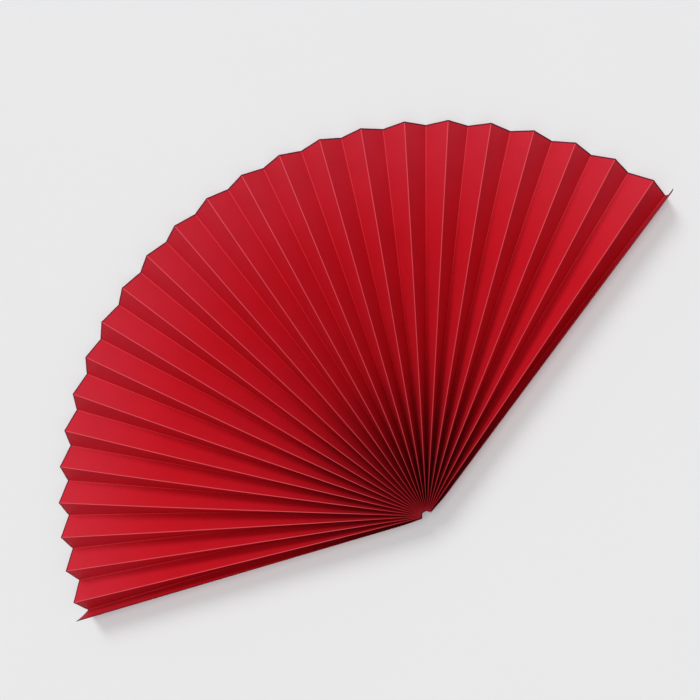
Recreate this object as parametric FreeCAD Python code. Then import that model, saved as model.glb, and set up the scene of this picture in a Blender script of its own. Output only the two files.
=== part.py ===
import FreeCAD, Part
import math
import os

# A paper fan folded from one rectangular card sheet. Millimetres and degrees.
# The origin is where the lines of the folds meet, on the plane that the fan lies on.
# +Y runs along the middle of the fan and +Z points out of its front.

# The flat sheet and its folds
FOLD_LENGTH = 300.0  # along a fold, from the gathered edge to the rim
PLEAT_WIDTH = 21.0  # from the middle of one fold to the middle of the next
CARD_THICKNESS = 0.18
RAISED_FOLDS = 24

# A fold is a narrow flat strip, wider where it stands open
CREASE_AT_RIM = 0.5
LEAF_GAP = 0.03  # between the leaves where they are pressed together

# How far the two panels of a raised fold stand open at the rim
OPENING_LEFT = 76.0
OPENING_MIDDLE = 105.5
OPENING_RIGHT = 89.5
LAST_FOLD_EXTRA = 11.0  # the last fold on the right springs open a little more

# The two end panels stand nearly upright; a positive lean is away from the fan
LEFT_END_LEAN = 1.0
RIGHT_END_LEAN = -5.5

# Straight runs that stand for the gentle bend along a fold
RUNS = 10

# Values that follow from the sizes. Along a fold, share 0 is the gathered edge and share 1 is the rim.
CREASE_AT_GATHER = CARD_THICKNESS + LEAF_GAP
HALF_CARD = CARD_THICKNESS / 2
PANELS = 2 * RAISED_FOLDS
STATIONS = [run / RUNS for run in range(RUNS + 1)]


def crease_width(share):
    """Width of a fold's flat strip."""
    return CREASE_AT_GATHER + (CREASE_AT_RIM - CREASE_AT_GATHER) * share


def panel_width(share):
    """Card between two strips, so that the folds are parallel on the flat sheet."""
    return PLEAT_WIDTH - crease_width(share)


def opening_angle(fold):
    """Angle between the panels of a raised fold at the rim, on a parabola from left to right."""
    place = (2 * fold + 1) / RAISED_FOLDS - 1
    slope = (OPENING_RIGHT - OPENING_LEFT) / 2
    bend = (OPENING_RIGHT + OPENING_LEFT) / 2 - OPENING_MIDDLE
    angle = OPENING_MIDDLE + slope * place + bend * place**2
    return angle + (LAST_FOLD_EXTRA if fold == RAISED_FOLDS - 1 else 0)


def rim_spread(panel):
    """How far a panel reaches sideways at the rim."""
    half_angle = math.radians(opening_angle(panel // 2) / 2)
    return panel_width(1) * math.sin(half_angle)


# The steps from fold to fold grow evenly from the gathered edge to the rim, which sets how far the fan opens
SPREADS = [rim_spread(panel) for panel in range(PANELS)]
RIM_STEPS = [spread + CREASE_AT_RIM for spread in SPREADS]
RIM_ARC = sum(RIM_STEPS)
GATHER_ARC = PANELS * CREASE_AT_GATHER
FAN_ANGLE = (RIM_ARC - GATHER_ARC) / FOLD_LENGTH
RIM_RADIUS = RIM_ARC / FAN_ANGLE
GATHER_RADIUS = GATHER_ARC / FAN_ANGLE


def on_circle(radius, arc):
    """Point on the back plane, at an arc's length from the fan's left side."""
    angle = math.pi / 2 + FAN_ANGLE / 2 - arc / radius
    return FreeCAD.Vector(radius * math.cos(angle), radius * math.sin(angle), 0)


def fold_line(fold):
    """Plan of a fold, sunk where it is even: its start, its end and the direction across it to the right."""
    start = on_circle(GATHER_RADIUS, fold * CREASE_AT_GATHER)
    end = on_circle(RIM_RADIUS, sum(RIM_STEPS[:fold]))
    along = (end - start).normalize()
    return start, end, FreeCAD.Vector(along.y, -along.x, 0)


def end_lean(share, rim_lean):
    """Lean of an end panel, upright among the leaves at the gathered edge and free to lean near the rim."""
    return math.radians(rim_lean) * share**2


def lean(share, panel):
    """Angle of a panel from upright, positive away from the sunk fold that it rises from."""
    if panel < 0:
        return end_lean(share, LEFT_END_LEAN)
    if panel >= PANELS:
        return end_lean(share, RIGHT_END_LEAN)
    return math.asin(share * SPREADS[panel] / panel_width(share))


def strip_corner(line, share, panel, raised, to_right, front):
    """Corner between a fold's strip and the panel beside it, on the card's front or back."""
    start, end, across = line
    mitre = HALF_CARD * math.tan(math.pi / 4 - lean(share, panel) / 2)
    offset = crease_width(share) / 2 + (mitre if raised == front else -mitre)
    height = panel_width(share) * math.cos(lean(share, panel)) if raised else 0
    corner = start + (end - start) * share + across * (offset if to_right else -offset)
    return corner + FreeCAD.Vector(0, 0, height + (CARD_THICKNESS if front else 0))


def free_corner(line, share, panel, to_right, front):
    """Corner of the free side of an end panel, on the card's front or back."""
    start, end, across = line
    up = FreeCAD.Vector(0, 0, 1)
    outward = across if to_right else across * -1
    angle = lean(share, panel)
    along_panel = outward * math.sin(angle) + up * math.cos(angle)
    through_card = up * math.sin(angle) - outward * math.cos(angle)
    foot = start + (end - start) * share + outward * (crease_width(share) / 2) + up * HALF_CARD
    return foot + along_panel * panel_width(share) + through_card * (HALF_CARD if front else -HALF_CARD)


def section(share, front):
    """Corners of the folded card at one share of its length, from its left free side to its right one."""
    lines = [fold_line(fold) for fold in range(PANELS + 1)]
    corners = [free_corner(lines[0], share, -1, False, front)]
    for fold, line in enumerate(lines):
        raised = fold % 2 == 1
        corners.append(strip_corner(line, share, fold - 1, raised, False, front))
        corners.append(strip_corner(line, share, fold, raised, True, front))
    corners.append(free_corner(lines[-1], share, PANELS, True, front))
    return corners


def lines_along(front):
    """Rows of points along the folds, each through the same corner of every section."""
    return list(zip(*[section(share, front) for share in STATIONS]))


def flat_face(*corners):
    """Flat face with straight sides."""
    return Part.Face(Part.makePolygon([*corners, corners[0]]))


def bent_band(left, right):
    """Band between two rows of points. Card bends along straight lines, so the band is flat triangles."""
    faces = []
    for run in range(len(left) - 1):
        faces.append(flat_face(left[run], left[run + 1], right[run + 1]))
        faces.append(flat_face(left[run], right[run + 1], right[run]))
    return faces


def card_side(lines):
    """Panels and strips of the card's front or back; the strip of a sunk fold is one flat face."""
    faces = []
    for place, (left, right) in enumerate(zip(lines, lines[1:])):
        sunk_strip = place % 4 == 1
        faces += [flat_face(*left, *reversed(right))] if sunk_strip else bent_band(left, right)
    return faces


def cut_edges(front, back):
    """Cut edges of the card: its two free sides, the gathered edge and the rim."""
    faces = bent_band(front[0], back[0]) + bent_band(front[-1], back[-1])
    for end in (0, -1):
        faces += bent_band([line[end] for line in front], [line[end] for line in back])
    return faces


def folded_sheet():
    """The whole sheet as one closed solid."""
    front = lines_along(True)
    back = lines_along(False)
    shell = Part.makeShell(card_side(front) + card_side(back) + cut_edges(front, back))
    shell.sewShape()
    solid = Part.makeSolid(shell)
    if solid.Volume < 0:
        solid.reverse()
    return solid


os.makedirs("parts", exist_ok=True)
sheet = folded_sheet()
sheet.exportStep("parts/pleated_sheet.step")
print("solids", len(sheet.Solids), "valid", sheet.isValid(), "volume", round(sheet.Volume, 1))
print("rim radius", round(RIM_RADIUS, 2), "gather radius", round(GATHER_RADIUS, 3))
print("fan angle", round(math.degrees(FAN_ANGLE), 2), "flat sheet", FOLD_LENGTH, "by", (PANELS + 2) * PLEAT_WIDTH)
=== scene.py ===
import math
import bpy
from mathutils import Matrix, Vector


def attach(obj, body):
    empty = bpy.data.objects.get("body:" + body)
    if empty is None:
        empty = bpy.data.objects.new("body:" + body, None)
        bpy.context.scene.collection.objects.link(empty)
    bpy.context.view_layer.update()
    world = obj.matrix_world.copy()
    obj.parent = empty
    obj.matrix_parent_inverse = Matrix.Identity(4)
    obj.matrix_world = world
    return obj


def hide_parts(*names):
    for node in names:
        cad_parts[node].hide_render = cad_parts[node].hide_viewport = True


bl_info = {
    "name": "Folded Card Fan",
    "version": (1, 0, 0),
    "blender": (4, 5, 0),
    "location": "View3D > Sidebar > Card Fan",
    "description": "Folds a card sheet into an open pleated fan and sets up a pale studio round it",
    "category": "Add Mesh",
}

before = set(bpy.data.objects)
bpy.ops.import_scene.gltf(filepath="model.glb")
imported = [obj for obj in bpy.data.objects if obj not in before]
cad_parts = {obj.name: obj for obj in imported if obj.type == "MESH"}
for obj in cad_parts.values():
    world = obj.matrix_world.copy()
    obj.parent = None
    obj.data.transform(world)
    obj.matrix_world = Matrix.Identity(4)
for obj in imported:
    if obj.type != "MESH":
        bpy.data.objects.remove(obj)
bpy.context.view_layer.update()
CAD_SHEET = "pleated_sheet"
MM = 0.001
FLAT_SHEET_MAP = "UVMap"  # where a point lies on the flat sheet, in metres

# Shares of a fold's length from the gathered edge between which the end panels spring off
END_PANELS_LET_GO = (-0.04, 0.06)
# How closely the faces across a panel are packed towards its folds, from 0 for even steps to 1
PACKING = 0.85
SHARPEST_SMOOTH_ANGLE = 0.5  # in radians, on the flat sheet

# Distances on the flat sheet between which a mark of the card's finish, or a painted shade, sheen or
# highlight, fades
RAISED_FOLD_WEAR_AND_HIGHLIGHT = (0.08 * MM, 0.39 * MM)  # from the middle of a raised fold, where worn fibre and a painted highlight lie
WORN_SUNK_FOLD = (0.15 * MM, 0.50 * MM)  # from the middle of a sunk fold
DARK_CUT_EDGE = (0.80 * MM, 1.30 * MM)  # from the rim or the gathered edge
SHADE_ALONG_FREE_SIDE = (1 * MM, 6 * MM)  # from a free side, over which the painted shade of the end panels fades
SHADE_NEAR_GATHER = (10 * MM, 130 * MM)  # from the gathered edge, over which the painted shade of the crowded folds fades
UNOPENED_END = 80 * MM  # from the gathered edge, where the folds were never pulled open
RUBBED_NEAR_RIM = 170 * MM  # from the rim
SHEEN_NEAR_RIM = 100 * MM  # from the rim, over which the painted sheen of the key light fades
RELIEF_DEPTH = 0.06 * MM

# Scale and detail of the patterns in the card
MOTTLE = (45, 3)
FIBRE = (1900, 3)
STREAK = (60, 2)
STREAK_STRETCH = (14.0, 1.2, 1.0)  # finer across the sheet than along its folds

FLOOR_REACH = 6.0
FLOOR_LEVEL = -0.2 * MM


# Sizes and colours that a user would change

class CardFanSheet(bpy.types.PropertyGroup):
    """The flat sheet and its folds"""

    fold_length: bpy.props.FloatProperty(
        name="Fold Length", description="Along a fold, from the gathered edge to the rim",
        default=300 * MM, min=10 * MM, unit="LENGTH")
    pleat_width: bpy.props.FloatProperty(
        name="Pleat Width", description="From the middle of one fold to the middle of the next",
        default=21 * MM, min=2 * MM, unit="LENGTH")
    card_thickness: bpy.props.FloatProperty(
        name="Card Thickness", description="Thickness of the card",
        default=0.18 * MM, min=0.05 * MM, unit="LENGTH")
    raised_folds: bpy.props.IntProperty(
        name="Raised Folds", description="Folds that stand up between the two end panels",
        default=24, min=2)
    crease_at_rim: bpy.props.FloatProperty(
        name="Crease at Rim", description="Width of the small bend of a fold at the rim",
        default=0.5 * MM, min=0.1 * MM, unit="LENGTH")
    leaf_gap: bpy.props.FloatProperty(
        name="Leaf Gap", description="Room between the leaves at the gathered edge",
        default=0.03 * MM, min=0.001 * MM, unit="LENGTH")
    spring: bpy.props.FloatProperty(
        name="Spring", description="How far a panel springs out of its plane beside its folds",
        default=0.12 * MM, min=0, unit="LENGTH")
    unevenness: bpy.props.FloatProperty(
        name="Unevenness", description="How far a fold strays from its even place at the rim",
        default=0.35 * MM, min=0, unit="LENGTH")
    seed: bpy.props.IntProperty(name="Seed", description="Seed of the unevenness", default=5)


class CardFanOpening(bpy.types.PropertyGroup):
    """How far the fan stands open"""

    opening_left: bpy.props.FloatProperty(
        name="Opening Left", description="Angle between two panels at the rim, at the left end",
        default=math.radians(76), subtype="ANGLE")
    opening_middle: bpy.props.FloatProperty(
        name="Opening Middle", description="Angle between two panels at the rim, in the middle",
        default=math.radians(105.5), subtype="ANGLE")
    opening_right: bpy.props.FloatProperty(
        name="Opening Right", description="Angle between two panels at the rim, at the right end",
        default=math.radians(89.5), subtype="ANGLE")
    last_fold_extra: bpy.props.FloatProperty(
        name="Last Fold Extra", description="How much further the last fold on the right springs open",
        default=math.radians(11), subtype="ANGLE")
    left_end_lean: bpy.props.FloatProperty(
        name="Left End Lean", description="Lean of the left end panel away from the fan, at the rim",
        default=math.radians(1), subtype="ANGLE")
    right_end_lean: bpy.props.FloatProperty(
        name="Right End Lean", description="Lean of the right end panel away from the fan, at the rim",
        default=math.radians(-7), subtype="ANGLE")
    end_spring: bpy.props.FloatProperty(
        name="End Spring", description="Lean of both end panels at the gathered edge, where they spring off",
        default=math.radians(4), subtype="ANGLE")
    end_bow: bpy.props.FloatProperty(
        name="End Bow", description="How far both end panels bow out near the gathered edge",
        default=2.5 * MM, min=0, unit="LENGTH")
    left_end_bow: bpy.props.FloatProperty(
        name="Left End Bow", description="How far the left end panel bows out at the rim",
        default=0.5 * MM, min=0, unit="LENGTH")
    right_end_bow: bpy.props.FloatProperty(
        name="Right End Bow", description="How far the right end panel bows out at the rim",
        default=1.6 * MM, min=0, unit="LENGTH")


class CardFanMesh(bpy.types.PropertyGroup):
    """How finely the folded sheet is divided"""

    panel_steps: bpy.props.IntProperty(
        name="Panel Steps", description="Faces across a panel", default=6, min=1)
    crease_steps: bpy.props.IntProperty(
        name="Crease Steps", description="Faces round the bend of a fold", default=4, min=2)
    length_steps: bpy.props.IntProperty(
        name="Length Steps", description="Faces along a fold", default=48, min=1)


def colour(name, description, default):
    """A colour that a user can pick, as linear values."""
    return bpy.props.FloatVectorProperty(
        name=name, description=description, default=default, size=3, min=0, max=1, subtype="COLOR")


class CardFanColours(bpy.types.PropertyGroup):
    """Colours of the card and the studio"""

    card: colour("Card", "Dyed card", (0.54, 0.0065, 0.0155))
    # Painted sheen: the card's colour near the rim, lighter where the key light's sheen falls
    painted_rim_sheen: colour("Painted Rim Sheen", "Card near the rim, paled by light", (0.56, 0.030, 0.055))
    # Worn fibre on the folds; on the raised folds also a painted highlight where the crease catches the light
    worn_fold_and_highlight: colour("Worn Fold and Highlight", "Fibre that shows where a fold has cracked the dye", (0.82, 0.115, 0.14))
    cut_edge: colour("Cut Edge", "Card along the cut rim", (0.115, 0.007, 0.025))
    studio: colour("Studio", "Floor and background", (0.83, 0.83, 0.84))


class CardFanStage(bpy.types.PropertyGroup):
    """Camera and lamps"""

    camera_place: bpy.props.FloatVectorProperty(
        name="Camera Place", description="Where the camera stands",
        default=(84.62 * MM, 129.37 * MM, 518.09 * MM), size=3, subtype="TRANSLATION")
    camera_aim: bpy.props.FloatVectorProperty(
        name="Camera Aim", description="Point on the floor in the middle of the picture",
        default=(25.69 * MM, 139.41 * MM, 0), size=3, subtype="TRANSLATION")
    picture_top: bpy.props.FloatProperty(
        name="Picture Top", description="Direction on the floor that points to the top of the picture",
        default=math.radians(53.96), subtype="ANGLE")
    focal_length: bpy.props.FloatProperty(
        name="Focal Length", description="In millimetres, for a picture 36 mm wide", default=33.3, min=5)
    key_turn: bpy.props.FloatProperty(
        name="Key Turn", description="Direction on the floor that the key light comes from",
        default=math.radians(86), subtype="ANGLE")
    key_height: bpy.props.FloatProperty(
        name="Key Height", description="Angle of the key light above the floor",
        default=math.radians(38), subtype="ANGLE")
    key_softness: bpy.props.FloatProperty(
        name="Key Softness", description="Angle that the key light fills",
        default=math.radians(22), subtype="ANGLE")
    key_strength: bpy.props.FloatProperty(
        name="Key Strength", description="Strength of the key light", default=1.32, min=0)
    top_turn: bpy.props.FloatProperty(
        name="Top Turn", description="Direction on the floor that the top light comes from",
        default=math.radians(75), subtype="ANGLE")
    top_height: bpy.props.FloatProperty(
        name="Top Height", description="Angle of the top light above the floor",
        default=math.radians(75), subtype="ANGLE")
    top_softness: bpy.props.FloatProperty(
        name="Top Softness", description="Angle that the top light fills",
        default=math.radians(30), subtype="ANGLE")
    top_strength: bpy.props.FloatProperty(
        name="Top Strength", description="Strength of the top light", default=1.09, min=0)
    fill_strength: bpy.props.FloatProperty(
        name="Fill Strength", description="Strength of the even light from all round", default=0.39, min=0)


# Nodes written as Python expressions

def is_vector(value):
    """Whether a value or a node's output is a vector or a colour."""
    if isinstance(value, Term):
        return value.socket.type in {"VECTOR", "RGBA"}
    return isinstance(value, (tuple, Vector))


class Term:
    """A node's output that takes part in Python expressions."""

    def __init__(self, graph, socket):
        self.graph = graph
        self.socket = socket

    def do(self, operation, *others):
        return self.graph.do(operation, self, *others)

    def __add__(self, other):
        return self.do("ADD", other)

    def __radd__(self, other):
        return self.graph.do("ADD", other, self)

    def __sub__(self, other):
        return self.do("SUBTRACT", other)

    def __rsub__(self, other):
        return self.graph.do("SUBTRACT", other, self)

    def __mul__(self, other):
        return self.do("MULTIPLY", other)

    def __rmul__(self, other):
        return self.graph.do("MULTIPLY", other, self)

    def __truediv__(self, other):
        return self.do("DIVIDE", other)

    def __rtruediv__(self, other):
        return self.graph.do("DIVIDE", other, self)

    def __lt__(self, other):
        return self.do("LESS_THAN", other)

    def __gt__(self, other):
        return self.do("GREATER_THAN", other)


class Graph:
    """A node tree that is written as expressions."""

    def __init__(self, tree):
        self.tree = tree
        tree.nodes.clear()

    def node(self, kind, settings=None, values=None, output=0):
        """A node with its settings, then the values or links of its sockets; gives one of its outputs."""
        node = self.tree.nodes.new(kind)
        for name, value in (settings or {}).items():
            setattr(node, name, value)
        for place, value in (values or {}).items():
            if isinstance(value, Term):
                self.tree.links.new(value.socket, node.inputs[place])
            else:
                node.inputs[place].default_value = value
        return Term(self, node.outputs[output]) if node.outputs else None

    def do(self, operation, *terms):
        """Math on numbers, and Vector Math where a vector takes part."""
        if not any(is_vector(term) for term in terms):
            return self.node("ShaderNodeMath", {"operation": operation}, dict(enumerate(terms)))
        if operation == "MULTIPLY" and not all(is_vector(term) for term in terms):
            vector, number = terms if is_vector(terms[0]) else reversed(terms)
            return self.node("ShaderNodeVectorMath", {"operation": "SCALE"}, {0: vector, "Scale": number})
        return self.node("ShaderNodeVectorMath", {"operation": operation}, dict(enumerate(terms)))

    def vector(self, x, y, z=0.0):
        return self.node("ShaderNodeCombineXYZ", values={"X": x, "Y": y, "Z": z})

    def parts(self, vector):
        """The three numbers of a vector."""
        split = self.node("ShaderNodeSeparateXYZ", values={0: vector}).socket.node
        return [Term(self, socket) for socket in split.outputs]

    def choose(self, share, first, second):
        """First at share 0 and second at share 1, for numbers or vectors."""
        if is_vector(first) or is_vector(second):
            return self.node("ShaderNodeMix", {"data_type": "VECTOR"}, {0: share, 4: first, 5: second}, 1)
        return self.node("ShaderNodeMix", {"data_type": "FLOAT"}, {0: share, 2: first, 3: second})

    def blend(self, share, first, second):
        """First colour at share 0 and second at share 1."""
        return self.node("ShaderNodeMix", {"data_type": "RGBA"}, {0: share, 6: first, 7: second}, 2)

    def fade(self, value, start, end):
        """0 at the start value and 1 at the end value, with a soft change between."""
        settings = {"interpolation_type": "SMOOTHSTEP"}
        return self.node("ShaderNodeMapRange", settings, {"Value": value, "From Min": start, "From Max": end})

    def mark(self, distance, start, end):
        """1 nearer than the start distance and 0 past the end distance."""
        return 1 - self.fade(distance, start, end)


# The rule that folds the card

class FanRule:
    """The folds as fields. A share is 0 at the gathered edge and 1 at the rim."""

    def __init__(self, graph, size):
        self.graph = graph
        self.size = size
        self.panels = size["Raised Folds"] * 2
        self.half_card = size["Card Thickness"] / 2
        self.crease_at_gather = size["Card Thickness"] + size["Leaf Gap"]
        self.add_up_rim()

    def add_up_rim(self):
        """The steps from fold to fold, added up along the rim, set how far the fan opens."""
        graph = self.graph
        self.fold_row = graph.node("GeometryNodeMeshLine", values={"Count": self.panels + 1})
        step = self.rim_spread(graph.node("GeometryNodeInputIndex")) + self.size["Crease at Rim"]
        self.arc_so_far = graph.node(
            "GeometryNodeAccumulateField", values={"Value": step}, output="Trailing")
        rim_arc = self.rim_arc(self.panels)
        gather_arc = self.panels * self.crease_at_gather
        self.fan_angle = (rim_arc - gather_arc) / self.size["Fold Length"]
        self.rim_radius = rim_arc / self.fan_angle
        self.gather_radius = gather_arc / self.fan_angle

    def rim_arc(self, fold):
        """Length of the rim from its left end to a fold."""
        values = {"Geometry": self.fold_row, "Value": self.arc_so_far, "Index": fold}
        return self.graph.node("GeometryNodeSampleIndex", {"clamp": True}, values)

    def crease_width(self, share):
        """Width of the bend of a fold."""
        return self.graph.choose(share, self.crease_at_gather, self.size["Crease at Rim"])

    def panel_width(self, share):
        """Card between two bends, so that the folds are parallel on the flat sheet."""
        return self.size["Pleat Width"] - self.crease_width(share)

    def opening_angle(self, fold):
        """Angle between the panels of a raised fold at the rim, on a parabola from left to right."""
        left, middle, right = (self.size["Opening " + place] for place in ("Left", "Middle", "Right"))
        place = (fold * 2 + 1) / self.size["Raised Folds"] - 1
        slope = (right - left) / 2
        bend = (right + left) / 2 - middle
        is_last = fold > self.size["Raised Folds"] - 1.5
        return middle + slope * place + bend * place * place + is_last * self.size["Last Fold Extra"]

    def rim_spread(self, panel):
        """How far a panel reaches sideways at the rim."""
        half_angle = self.opening_angle((panel / 2).do("FLOOR")) / 2
        return self.panel_width(1) * half_angle.do("SINE")

    def is_end(self, panel):
        """1 for the two end panels and 0 for the others."""
        return (panel < -0.5).do("MAXIMUM", panel > self.panels - 0.5)

    def lean(self, share, panel):
        """Angle of a panel from upright, positive away from the sunk fold that it rises from."""
        spread_out = (share * self.rim_spread(panel) / self.panel_width(share)).do("ARCSINE")
        end_lean = self.at_ends(share, panel, "End Spring", "End Lean")
        return self.graph.choose(self.is_end(panel), spread_out, end_lean)

    def at_ends(self, share, panel, near_gather, at_rim):
        """A size of the end panels, which the gathered edge still holds back."""
        loose = self.size[near_gather] * self.graph.fade(share, *END_PANELS_LET_GO)
        rim = self.graph.choose(panel > 0, self.size["Left " + at_rim], self.size["Right " + at_rim])
        return self.graph.choose(share, loose, rim)

    def on_circle(self, radius, arc):
        """Point in the back plane, at an arc's length from the fan's left side."""
        angle = math.pi / 2 + self.fan_angle / 2 - arc / radius
        return self.graph.vector(radius * angle.do("COSINE"), radius * angle.do("SINE"))

    def stray(self, fold, share, seed):
        """Small unevenness of one fold, which grows towards the rim."""
        values = {2: -1.0, 3: 1.0, "ID": fold, "Seed": self.size["Seed"] + seed}
        swing = self.graph.node("FunctionNodeRandomValue", {"data_type": "FLOAT"}, values, 1)
        return swing * share * self.size["Unevenness"]

    def fold_place(self, fold, share):
        """Plan of a fold: its point at a share of its length, and the direction across it to the right."""
        start = self.on_circle(self.gather_radius, fold * self.crease_at_gather)
        end = self.on_circle(self.rim_radius, self.rim_arc(fold))
        across = (end - start).do("NORMALIZE").do("CROSS_PRODUCT", (0, 0, 1))
        return start + (end - start) * share + across * self.stray(fold, share, 0), across


class FlatSheet:
    """Where a point of the flat sheet lies among the panels and bends, as fields."""

    def __init__(self, rule):
        graph, size = rule.graph, rule.size
        across, along, through = graph.parts(graph.node("GeometryNodeInputPosition"))
        self.share = along + 0.5
        self.side = through * 2
        self.columns = count_columns(rule)
        column = ((across + 0.5) * self.columns).do("ROUND")
        steps_in_pleat = size["Panel Steps"] + size["Crease Steps"]
        pleat = (column / steps_in_pleat).do("FLOOR")
        step = column - pleat * steps_in_pleat
        self.panel = pleat - 1
        self.fold = pleat
        self.in_bend = step > size["Panel Steps"] + 0.5
        self.across_panel = packed_to_ends(step / size["Panel Steps"])
        self.across_bend = (step - size["Panel Steps"]) / size["Crease Steps"] * 2 - 1

    def map_place(self, rule):
        """Place on the flat sheet in metres, with fold 0 one pleat's width from the left side."""
        pitch, bend = rule.size["Pleat Width"], rule.crease_width(self.share)
        on_panel = self.fold * pitch + bend / 2 + self.across_panel * rule.panel_width(self.share)
        on_bend = (self.fold + 1) * pitch + self.across_bend * bend / 2
        across = rule.graph.choose(self.in_bend, on_panel, on_bend)
        return rule.graph.vector(across, self.share * rule.size["Fold Length"])


def count_columns(rule):
    """Columns of faces across the whole flat sheet."""
    on_panels = (rule.panels + 2) * rule.size["Panel Steps"]
    return on_panels + (rule.panels + 1) * rule.size["Crease Steps"]


def packed_to_ends(share):
    """The same share from 0 to 1 with its steps packed towards both ends."""
    return share - (share * math.tau).do("SINE") * (PACKING / math.tau)


class FoldedCard:
    """Where the points of the flat sheet lie once the card is folded, as fields."""

    def __init__(self, rule, flat):
        graph, share = rule.graph, flat.share
        self.rule, self.flat, self.graph = rule, flat, graph
        self.raised = flat.fold.do("FLOORED_MODULO", 2)
        self.rising = 1 - flat.panel.do("FLOORED_MODULO", 2)
        self.turn = self.rising * 2 - 1
        self.is_end = rule.is_end(flat.panel)

        sunk_fold = flat.panel + 1 - self.rising
        raised_fold = flat.panel + self.rising
        nearest = graph.choose(flat.in_bend, sunk_fold, flat.fold)
        self.near, self.near_across = rule.fold_place(nearest, share)
        self.far, self.far_across = rule.fold_place(raised_fold, share)

        self.lean = rule.lean(share, flat.panel + flat.in_bend * (flat.across_bend > 0))
        self.slope = math.pi / 2 - self.lean
        self.reach = rule.panel_width(share)
        self.half_bend = rule.crease_width(share) / 2
        self.bend_radius = self.half_bend / self.lean.do("COSINE")
        self.sag = self.bend_radius * (1 - self.lean.do("SINE"))
        crest = graph.choose(flat.in_bend, raised_fold, flat.fold)
        self.rise = self.reach * self.lean.do("COSINE") + rule.stray(crest, share, 1)

    def on_panel(self):
        """Plan, level, tilt, direction across and spring out of its plane of a point on a panel."""
        graph, share = self.graph, self.flat.share
        up_panel = graph.choose(self.rising, 1 - self.flat.across_panel, self.flat.across_panel)
        foot = self.near + self.near_across * (self.turn * self.half_bend)
        shared_top = self.far - self.far_across * (self.turn * self.half_bend)
        free_top = foot + self.near_across * (self.turn * self.reach * self.lean.do("SINE"))
        plan = graph.choose(up_panel, foot, graph.choose(self.is_end, shared_top, free_top))
        level = graph.choose(up_panel, self.sag, self.rise - self.sag * (1 - self.is_end))
        across = graph.choose(up_panel * (1 - self.is_end), self.near_across, self.far_across)
        spring = (up_panel * math.tau).do("SINE") * share * self.rule.size["Spring"]
        end_bow = self.rule.at_ends(share, self.flat.panel, "End Bow", "End Bow")
        outward = -1 * (up_panel * math.pi).do("SINE") * end_bow
        tilt = -1 * self.turn * self.slope
        return plan, level, tilt, across, graph.choose(self.is_end, spring, outward)

    def on_bend(self):
        """Plan, level, tilt and direction across of a point on the round bend of a fold."""
        swing = self.flat.across_bend * self.slope
        arch = self.raised * 2 - 1
        plan = self.near + self.near_across * (self.bend_radius * swing.do("SINE"))
        level = self.raised * self.rise - arch * self.bend_radius * (1 - swing.do("COSINE"))
        return plan, level, arch * swing, self.near_across

    def place(self):
        """Where a point lies, on the card's front or back."""
        graph, in_bend = self.graph, self.flat.in_bend
        *on_panel, spring = self.on_panel()
        plan, level, tilt, across = (
            graph.choose(in_bend, panel, bend) for panel, bend in zip(on_panel, self.on_bend()))
        normal = across * tilt.do("SINE") + graph.vector(0, 0, tilt.do("COSINE"))
        off_middle = self.flat.side * self.rule.half_card + spring * (1 - in_bend)
        return plan + graph.vector(0, 0, level + self.rule.half_card) + normal * off_middle


# The geometry tree

SOCKETS = {"FLOAT": "NodeSocketFloat", "INT": "NodeSocketInt"}
SUBTYPES = {"LENGTH": "DISTANCE", "ROTATION": "ANGLE"}


def sizes_of(settings):
    """The sizes that settings hold, each with its property."""
    return [(prop, getattr(settings, prop.identifier))
            for prop in settings.bl_rna.properties if prop.type in SOCKETS]


def folding_tree(sizes):
    """A tree with one named input for each size and one for the card's material."""
    tree = bpy.data.node_groups.new("Fold Card Into a Fan", "GeometryNodeTree")
    tree.interface.new_socket("Geometry", in_out="OUTPUT", socket_type="NodeSocketGeometry")
    for prop, value in sizes:
        socket = tree.interface.new_socket(prop.name, in_out="INPUT", socket_type=SOCKETS[prop.type])
        socket.subtype = SUBTYPES.get(prop.unit, "NONE")
    tree.interface.new_socket("Card", in_out="INPUT", socket_type="NodeSocketMaterial")
    graph = Graph(tree)
    inputs = graph.node("NodeGroupInput").socket.node.outputs
    size = {socket.name: Term(graph, socket) for socket in inputs if socket.name}
    build_folding(graph, size)
    return tree


def build_folding(graph, size):
    """Flat sheet, its map and sharp edges, its folds, its shading and its material, in this order."""
    rule = FanRule(graph, size)
    flat = FlatSheet(rule)
    counts = {"Vertices X": flat.columns + 1, "Vertices Y": size["Length Steps"] + 1, "Vertices Z": 2}
    sheet = graph.node("GeometryNodeMeshCube", values={"Size": (1, 1, 1), **counts})
    sheet = graph.node(
        "GeometryNodeStoreNamedAttribute", {"data_type": "FLOAT2", "domain": "CORNER"},
        {"Geometry": sheet, "Name": FLAT_SHEET_MAP, "Value": flat.map_place(rule)})
    sheet = graph.node("GeometryNodeSetShadeSmooth", {"domain": "FACE"}, {0: sheet, "Shade Smooth": True})
    is_cut = graph.node("GeometryNodeInputMeshEdgeAngle") > SHARPEST_SMOOTH_ANGLE
    sheet = graph.node(
        "GeometryNodeSetShadeSmooth", {"domain": "EDGE"},
        {0: sheet, "Selection": is_cut, "Shade Smooth": False})
    place = FoldedCard(rule, flat).place()
    sheet = graph.node("GeometryNodeSetPosition", values={0: sheet, "Position": place})
    sheet = graph.node("GeometryNodeRealizeInstances", values={0: sheet})
    sheet = graph.node("GeometryNodeSetMaterial", values={0: sheet, "Material": size["Card"]})
    graph.node("NodeGroupOutput", values={0: sheet})


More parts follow.
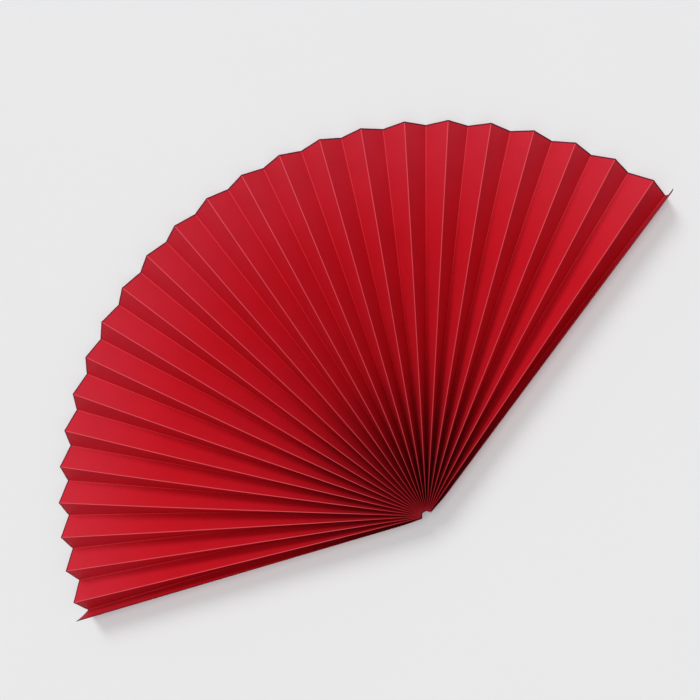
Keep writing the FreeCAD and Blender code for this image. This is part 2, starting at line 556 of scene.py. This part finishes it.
def folded_mesh(sizes, material):
    """The folded sheet as a plain mesh."""
    tree = folding_tree(sizes)
    maker = bpy.data.objects.new("card_maker", bpy.data.meshes.new("card_maker"))
    bpy.context.collection.objects.link(maker)
    modifier = maker.modifiers.new("Fold", "NODES")
    modifier.node_group = tree
    chosen = {prop.name: value for prop, value in sizes} | {"Card": material}
    for socket in tree.interface.items_tree:
        if socket.in_out == "INPUT":
            modifier[socket.identifier] = chosen[socket.name]
    evaluated = maker.evaluated_get(bpy.context.evaluated_depsgraph_get())
    mesh = bpy.data.meshes.new_from_object(evaluated)
    bpy.data.objects.remove(maker)
    return mesh


# Materials

def new_material(name):
    material = bpy.data.materials.new(name)
    material.use_nodes = True
    return material, Graph(material.node_tree)


def noise(graph, place, scale, detail=2.0):
    """Even noise from 0 to 1 about 0.5."""
    return graph.node("ShaderNodeTexNoise", values={"Vector": place, "Scale": scale, "Detail": detail})


def with_alpha(colour_value):
    return (*colour_value, 1)


class CardFinish:
    """Marks of the dyed card, with painted shade, sheen and highlight among them, which follow the flat
    sheet.
    """

    def __init__(self, graph, sheet):
        self.graph = graph
        place = graph.node("ShaderNodeUVMap", {"uv_map": FLAT_SHEET_MAP})
        self.across, self.along, _ = graph.parts(place)
        self.pitch, self.length = sheet.pleat_width, sheet.fold_length
        self.width = (2 * sheet.raised_folds + 2) * self.pitch
        self.from_side = self.across.do("MINIMUM", self.width - self.across)
        self.mottle = noise(graph, place, *MOTTLE)
        self.fibre = noise(graph, place, *FIBRE)
        self.streak = noise(graph, place * STREAK_STRETCH, *STREAK)
        self.near_rim = self.from_rim(RUBBED_NEAR_RIM)
        self.opened = 0.08 + 0.92 * graph.fade(self.along, 0, UNOPENED_END)

    def from_rim(self, distance):
        """1 at the rim and 0 past a distance from it."""
        return self.graph.fade(self.along, self.length - distance, self.length)

    def tone(self):
        """How light the card is: its own mottle and fibre, darkened by painted shade near the gathered edge
        and along its free sides.
        """
        # painted shade near the gathered edge, where the folds crowd together
        gather_shade = 0.62 + 0.38 * self.graph.fade(self.along, *SHADE_NEAR_GATHER)
        # painted shade along the free sides of the end panels
        shaded = 0.5 + 0.5 * self.graph.fade(self.from_side, *SHADE_ALONG_FREE_SIDE)
        return (0.86 + 0.16 * self.mottle + 0.12 * self.fibre) * (gather_shade * shaded)

    def dyed(self, colours):
        """Colour of the dye, lightened near the rim by a painted sheen."""
        # painted sheen near the rim
        sheened = 0.4 * self.from_rim(SHEEN_NEAR_RIM)
        return self.graph.choose(sheened, Vector(colours.card), Vector(colours.painted_rim_sheen)) * self.tone()

    def raised_fold_wear_and_highlight(self):
        """Cracked dye on the raised folds, with a painted highlight, less of it towards the right side."""
        from_fold = self.across.do("PINGPONG", self.pitch)
        is_fold = self.graph.fade(self.from_side, 0.5 * self.pitch, 0.6 * self.pitch)
        to_right = self.graph.fade(self.across, 0.25 * self.width, 0.45 * self.width)
        spared = 0.34 * to_right * (1 - self.near_rim)
        wear = (0.50 + 0.45 * self.streak) * self.opened * is_fold * (1 - spared)
        return self.graph.mark(from_fold, *RAISED_FOLD_WEAR_AND_HIGHLIGHT) * wear

    def worn_sunk(self):
        """Rubbed dye in the sunk folds, most of it near the rim."""
        from_fold = (self.across + self.pitch).do("PINGPONG", self.pitch)
        wear = (0.02 + 0.10 * self.streak + 0.34 * self.near_rim) * self.opened
        return self.graph.mark(from_fold, *WORN_SUNK_FOLD) * wear

    def cut(self):
        """Bands along the cut edges, twice as wide along the free sides."""
        from_cut = self.along.do("MINIMUM", self.length - self.along).do("MINIMUM", 0.5 * self.from_side)
        return self.graph.mark(from_cut, *DARK_CUT_EDGE)


def card_material(sheet, colours):
    """Matte dyed card, with fibres, pale worn folds that on the raised folds also paint a highlight, dark cut
    edges, painted shade and a painted sheen near the rim.
    """
    material, graph = new_material("dyed red card")
    finish = CardFinish(graph, sheet)
    surface = graph.blend(finish.raised_fold_wear_and_highlight(), finish.dyed(colours), with_alpha(colours.worn_fold_and_highlight))
    surface = graph.blend(finish.worn_sunk(), surface, with_alpha(colours.worn_fold_and_highlight))
    surface = graph.blend(finish.cut(), surface, with_alpha(colours.cut_edge))
    relief = graph.node("ShaderNodeBump", values={
        "Strength": 0.5, "Distance": RELIEF_DEPTH, "Height": finish.fibre + finish.mottle * 4})
    shader = graph.node("ShaderNodeBsdfPrincipled", values={
        "Base Color": surface, "Roughness": 0.60 + 0.14 * finish.fibre, "Normal": relief,
        "Specular IOR Level": 0.1})
    graph.node("ShaderNodeOutputMaterial", values={"Surface": shader})
    return material


def floor_material(colours):
    """Matte pale floor with a trace of mottle."""
    material, graph = new_material("pale studio floor")
    place = graph.node("ShaderNodeTexCoord", output="Object")
    tone = 0.99 + 0.02 * noise(graph, place, 4)
    surface = graph.node("ShaderNodeVectorMath", {"operation": "SCALE"}, {0: colours.studio, "Scale": tone})
    shader = graph.node("ShaderNodeBsdfPrincipled", values={
        "Base Color": surface, "Roughness": 0.9, "Specular IOR Level": 0.1})
    graph.node("ShaderNodeOutputMaterial", values={"Surface": shader})
    return material


# Stage

def make_floor(colours):
    """Wide flat floor just under the fan."""
    sides = ((-1, -1), (1, -1), (1, 1), (-1, 1))
    corners = [(FLOOR_REACH * x, FLOOR_REACH * y, FLOOR_LEVEL) for x, y in sides]
    mesh = bpy.data.meshes.new("studio_floor")
    mesh.from_pydata(corners, [], [(0, 1, 2, 3)])
    mesh.materials.append(floor_material(colours))
    floor = bpy.data.objects.new("studio_floor", mesh)
    bpy.context.collection.objects.link(floor)


def make_camera(stage):
    """Camera at the place and turn that the photograph was taken from."""
    place, aim = Vector(stage.camera_place), Vector(stage.camera_aim)
    forward = (aim - place).normalized()
    top = Vector((math.cos(stage.picture_top), math.sin(stage.picture_top), 0))
    up = (top + Vector((0, 0, -forward.dot(top) / forward.z))).normalized()
    data = bpy.data.cameras.new("camera")
    data.sensor_width = 36
    data.lens = stage.focal_length
    data.clip_start = 0.01
    camera = bpy.data.objects.new("camera", data)
    turn = Matrix((forward.cross(up), up, -forward)).transposed()
    camera.matrix_world = Matrix.Translation(place) @ turn.to_4x4()
    bpy.context.collection.objects.link(camera)
    bpy.context.scene.camera = camera


def make_lamp(stage, name):
    """Soft light from one direction, with the sizes that the stage holds under its name."""
    turn, height, softness, strength = (
        getattr(stage, f"{name}_{size}") for size in ("turn", "height", "softness", "strength"))
    data = bpy.data.lights.new(name, "SUN")
    data.energy = strength
    data.angle = softness
    lamp = bpy.data.objects.new(name, data)
    towards = Vector((math.cos(height) * math.cos(turn), math.cos(height) * math.sin(turn), math.sin(height)))
    lamp.rotation_euler = towards.to_track_quat("Z", "Y").to_euler()
    bpy.context.collection.objects.link(lamp)


def light_world(stage, colours):
    """Even light from all round; what looks past the floor sees the studio's colour."""
    world = bpy.data.worlds.new("studio")
    world.use_nodes = True
    graph = Graph(world.node_tree)
    rays = graph.node("ShaderNodeLightPath").socket.node.outputs
    seen = Term(graph, rays["Is Camera Ray"])
    for name in ("Is Glossy Ray", "Is Transmission Ray"):
        seen = seen.do("MAXIMUM", Term(graph, rays[name]))
    fill = graph.node("ShaderNodeBackground", values={"Color": (1, 1, 1, 1), "Strength": stage.fill_strength})
    backdrop = graph.node("ShaderNodeBackground", values={
        "Color": with_alpha(colours.studio), "Strength": 1.0})
    light = graph.node("ShaderNodeMixShader", values={0: seen, 1: fill, 2: backdrop})
    graph.node("ShaderNodeOutputWorld", values={"Surface": light})
    bpy.context.scene.world = world


# Operators and their panel

class CARDFAN_OT_fold_sheet(bpy.types.Operator):
    """Fold the card sheet into an open fan"""

    bl_idname = "cardfan.fold_sheet"
    bl_label = "Fold Card Sheet"
    bl_options = {"REGISTER", "UNDO"}

    def execute(self, context):
        scene = context.scene
        groups = (scene.card_fan_sheet, scene.card_fan_opening, scene.card_fan_mesh)
        sizes = [size for settings in groups for size in sizes_of(settings)]
        material = card_material(scene.card_fan_sheet, scene.card_fan_colours)
        mesh = folded_mesh(sizes, material)
        if not mesh.polygons:
            raise RuntimeError("the folding tree gave no faces")
        sheet = bpy.data.objects.new("folded_card_fan", mesh)
        context.collection.objects.link(sheet)
        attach(sheet, "root")
        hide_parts(CAD_SHEET)
        return {"FINISHED"}


class CARDFAN_OT_set_stage(bpy.types.Operator):
    """Lay a pale floor and set up the camera and lamps"""

    bl_idname = "cardfan.set_stage"
    bl_label = "Set Stage"
    bl_options = {"REGISTER", "UNDO"}

    def execute(self, context):
        stage, colours = context.scene.card_fan_stage, context.scene.card_fan_colours
        make_floor(colours)
        make_camera(stage)
        make_lamp(stage, "key")
        make_lamp(stage, "top")
        light_world(stage, colours)
        context.scene.view_settings.view_transform = "Standard"
        return {"FINISHED"}


class CARDFAN_PT_sidebar(bpy.types.Panel):
    """Sizes, colours and steps of the card fan"""

    bl_idname = "CARDFAN_PT_sidebar"
    bl_label = "Card Fan"
    bl_space_type = "VIEW_3D"
    bl_region_type = "UI"
    bl_category = "Card Fan"

    def draw(self, context):
        for name in SETTINGS:
            settings = getattr(context.scene, name)
            box = self.layout.box()
            for prop in settings.bl_rna.properties:
                if prop.type in SOCKETS:
                    box.prop(settings, prop.identifier)
        for operator in OPERATORS:
            self.layout.operator(operator.bl_idname)


SETTINGS = {
    "card_fan_sheet": CardFanSheet,
    "card_fan_opening": CardFanOpening,
    "card_fan_mesh": CardFanMesh,
    "card_fan_colours": CardFanColours,
    "card_fan_stage": CardFanStage,
}
OPERATORS = (CARDFAN_OT_fold_sheet, CARDFAN_OT_set_stage)
CLASSES = (*SETTINGS.values(), *OPERATORS, CARDFAN_PT_sidebar)


def register():
    for cls in CLASSES:
        bpy.utils.register_class(cls)
    for name, cls in SETTINGS.items():
        setattr(bpy.types.Scene, name, bpy.props.PointerProperty(type=cls))


def unregister():
    for name in SETTINGS:
        delattr(bpy.types.Scene, name)
    for cls in reversed(CLASSES):
        bpy.utils.unregister_class(cls)


def main():
    register()
    bpy.ops.cardfan.fold_sheet()
    bpy.ops.cardfan.set_stage()


if __name__ == "__main__":
    main()
